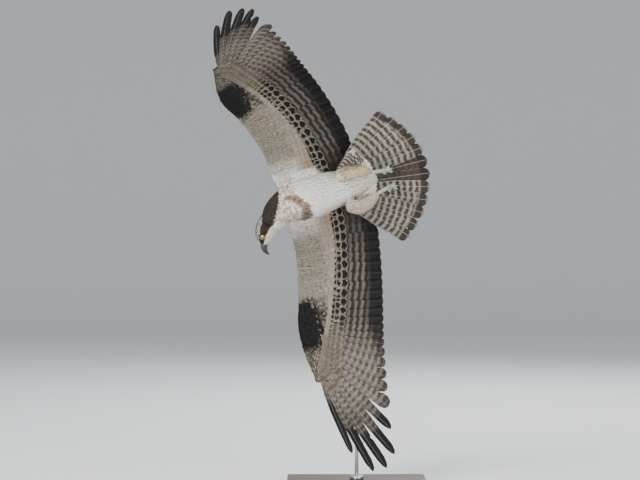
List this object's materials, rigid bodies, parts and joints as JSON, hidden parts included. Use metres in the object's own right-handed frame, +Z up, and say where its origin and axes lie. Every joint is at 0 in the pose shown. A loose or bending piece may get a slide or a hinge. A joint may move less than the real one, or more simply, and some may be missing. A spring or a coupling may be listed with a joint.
{
  "type": "osprey",
  "caption": "Life-size osprey banking in flight with wings and tail spread, looking straight down, on a plain display stand.",
  "frame": {"origin": "centre of the underside of the stand's base", "axes": "+Z up; the belly faces -Y, the bill's end of the body points to -X, the left wing is raised towards +Z"},
  "size_m": [0.6128, 0.8707, 1.3488],
  "materials": {
    "plumage_white": "matte",
    "plumage_dark": "matte",
    "plumage_buff": "matte",
    "bill_horn": "gloss",
    "eye": "gloss",
    "leg_scales": "satin",
    "claw_horn": "gloss",
    "stand_wood": "satin",
    "stand_steel": "brushed"
  },
  "bodies": {
    "root": {"torso": "plumage_white", "neck": "plumage_white", "head": "plumage_white", "bill_upper": "bill_horn", "bill_lower": "bill_horn", "eye_left": "eye", "eye_right": "eye", "wing_left": "plumage_dark", "wing_right": "plumage_dark", "tail": "plumage_dark", "thigh_left": "plumage_buff", "thigh_right": "plumage_buff", "foot_left": "leg_scales", "foot_right": "leg_scales", "stand_base": "stand_wood", "stand_collar": "stand_steel", "stand_post": "stand_steel", "stand_block": "stand_steel", "stand_arm": "stand_steel", "claw_left_1": "claw_horn", "claw_left_2": "claw_horn", "claw_left_3": "claw_horn", "claw_left_4": "claw_horn", "claw_right_1": "claw_horn", "claw_right_2": "claw_horn", "claw_right_3": "claw_horn", "claw_right_4": "claw_horn"}
  },
  "joints": []
}
